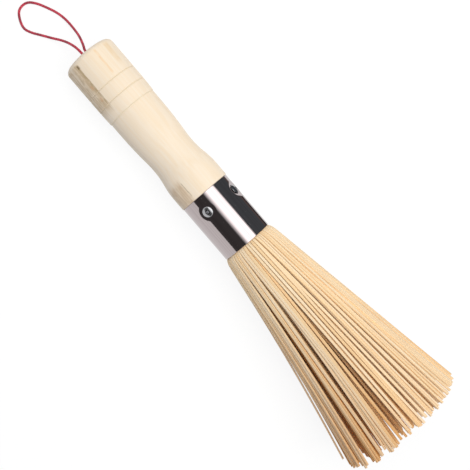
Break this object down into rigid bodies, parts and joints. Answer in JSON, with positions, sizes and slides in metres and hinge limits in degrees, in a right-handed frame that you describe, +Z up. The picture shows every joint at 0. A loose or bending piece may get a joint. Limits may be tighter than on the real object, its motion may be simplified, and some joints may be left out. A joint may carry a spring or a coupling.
{
  "type": "bamboo strip brush",
  "caption": "Scrubbing brush with a turned wooden handle, a riveted metal ferrule, a flared bundle of split bamboo strips and a red hanging cord.",
  "frame": {"origin": "on the surface that the brush lies on, under the middle of the brush's own box without the free loop of cord", "axes": "+Z up from that surface; +X level, from the butt towards the strip tips; +Y to the left of someone looking from the butt to the tips"},
  "size_m": [0.3096, 0.0746, 0.0739],
  "materials": {
    "handle_wood": "turned and sanded, unvarnished",
    "ferrule_steel": "mirror-polished stainless steel",
    "rivet_aluminium": "bright",
    "mandrel_steel": "broken end, dull",
    "cord_red": "braided synthetic cord",
    "clear_glue": "set glue",
    "split_bamboo": "split, fibrous",
    "wedge_wood": "whittled"
  },
  "bodies": {
    "brush": {"centre_wedge": "wedge_wood", "cord_glue": "clear_glue", "cord_tails": "cord_red", "ferrule": "ferrule_steel", "handle": "handle_wood", "rivet_bodies": "rivet_aluminium", "rivet_mandrels": "mandrel_steel", "strip_glue": "clear_glue", "strip_ring_1_a": "split_bamboo", "strip_ring_1_b": "split_bamboo", "strip_ring_1_c": "split_bamboo", "strip_ring_1_d": "split_bamboo", "strip_ring_2_a": "split_bamboo", "strip_ring_2_b": "split_bamboo", "strip_ring_2_c": "split_bamboo", "strip_ring_2_d": "split_bamboo", "strip_ring_3_a": "split_bamboo", "strip_ring_3_b": "split_bamboo", "strip_ring_3_c": "split_bamboo", "strip_ring_4_a": "split_bamboo", "strip_ring_4_b": "split_bamboo", "strip_ring_4_c": "split_bamboo", "strip_ring_5_a": "split_bamboo", "strip_ring_5_b": "split_bamboo", "strip_ring_6_a": "split_bamboo", "strip_ring_6_b": "split_bamboo", "strip_ring_7": "split_bamboo", "strip_ring_8": "split_bamboo"},
    "loop": {"hanging_loop": "cord_red"}
  },
  "joints": [
    {"name": "loop_swing", "type": "hinge", "parent": "brush", "child": "loop", "pos_m": [-0.13169, -0.00006, 0.01491], "axis": [0, 0, 1], "range_deg": [-40, 40]}
  ]
}
